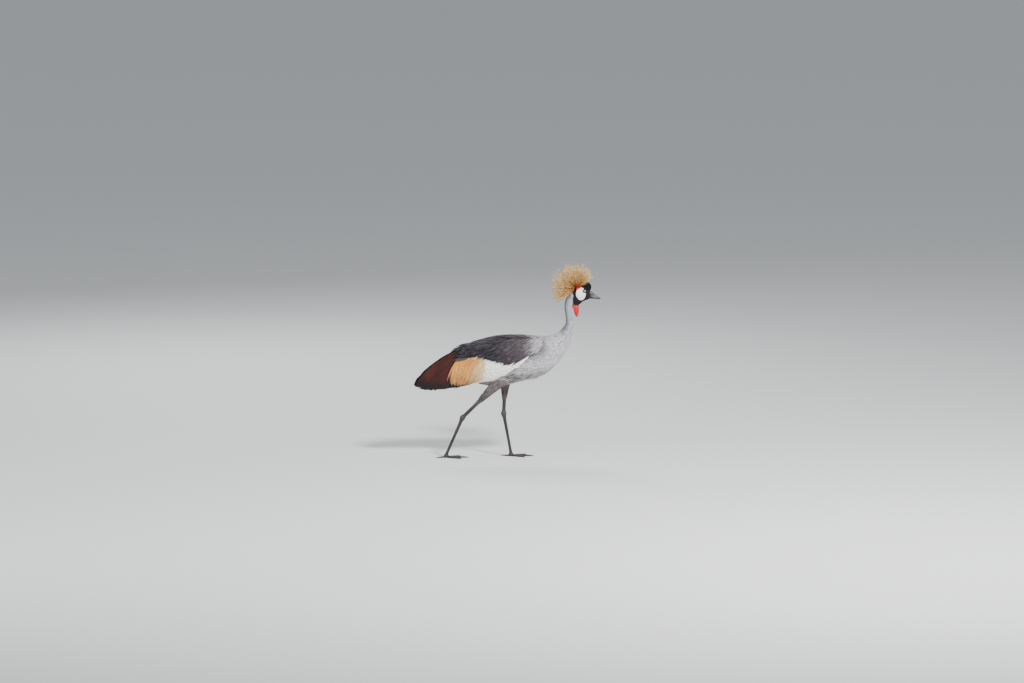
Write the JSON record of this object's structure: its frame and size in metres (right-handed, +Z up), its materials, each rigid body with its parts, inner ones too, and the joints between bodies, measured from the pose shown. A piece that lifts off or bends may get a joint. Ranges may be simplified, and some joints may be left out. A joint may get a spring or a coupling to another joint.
{
  "type": "grey crowned crane",
  "caption": "Life-size still model of a walking grey crowned crane, with folded wings, a radiating golden crest and long bare legs.",
  "frame": {"origin": "on the ground under the middle of the whole bird, which is the middle of its box at the lowest level", "axes": "+X is forward, the way the bill points; +Y is the bird's left; +Z is up"},
  "size_m": [0.9186, 0.2268, 0.9607],
  "materials": {
    "grey_plumage": "matt pale grey body feathers, darker towards the back",
    "face_plumage": "short dense black velvet-like feathers of the face and chin",
    "velvet_cap": "deep black velvet cap of dense short feathers",
    "eye": "pale bluish eye with a dark round pupil under a wet gloss",
    "bare_cheek": "bare white skin of the cheek, finely wrinkled",
    "red_skin": "bright red bare skin, soft and slightly glossy",
    "bill_horn": "satin dark grey horn, paler at the base of the upper half",
    "crest_straw": "stiff straw-gold bristle feathers, darker at the root",
    "white_plumage": "creamy white wing coverts",
    "slate_plumage": "dark slate feathers of the back with a soft sheen",
    "chestnut_plumage": "dark chestnut inner flight feathers with blackish tips",
    "black_plumage": "black flight and tail feathers with a faint gloss",
    "gold_plumage": "loose golden plumes of the wing coverts",
    "leg_scutes": "dark scaled skin of the bare leg and toes",
    "claw_horn": "dark satin claws"
  },
  "bodies": {
    "root": {"torso": "grey_plumage", "neck_lower": "grey_plumage", "neck_middle": "grey_plumage", "neck_upper": "grey_plumage", "head": "face_plumage", "forehead_cap": "velvet_cap", "eye_left": "eye", "cheek_left": "bare_cheek", "red_patch_left": "red_skin", "eye_right": "eye", "cheek_right": "bare_cheek", "red_patch_right": "red_skin", "bill_upper": "bill_horn", "bill_lower": "bill_horn", "wattle": "red_skin", "crest": "crest_straw", "wing_coverts_left": "white_plumage", "scapulars_left": "slate_plumage", "secondaries_left": "chestnut_plumage", "primaries_left": "black_plumage", "wing_plumes_left": "gold_plumage", "wing_coverts_right": "white_plumage", "scapulars_right": "slate_plumage", "secondaries_right": "chestnut_plumage", "primaries_right": "black_plumage", "wing_plumes_right": "gold_plumage", "mantle": "slate_plumage", "tail": "black_plumage", "thigh_left": "grey_plumage", "shank_left": "leg_scutes", "hock_left": "leg_scutes", "tarsus_left": "leg_scutes", "foot_left": "leg_scutes", "toe_middle_left": "leg_scutes", "claw_middle_left": "claw_horn", "toe_inner_left": "leg_scutes", "claw_inner_left": "claw_horn", "toe_outer_left": "leg_scutes", "claw_outer_left": "claw_horn", "toe_hind_left": "leg_scutes", "claw_hind_left": "claw_horn", "thigh_right": "grey_plumage", "shank_right": "leg_scutes", "hock_right": "leg_scutes", "tarsus_right": "leg_scutes", "foot_right": "leg_scutes", "toe_middle_right": "leg_scutes", "claw_middle_right": "claw_horn", "toe_inner_right": "leg_scutes", "claw_inner_right": "claw_horn", "toe_outer_right": "leg_scutes", "claw_outer_right": "claw_horn", "toe_hind_right": "leg_scutes", "claw_hind_right": "claw_horn"}
  },
  "joints": []
}
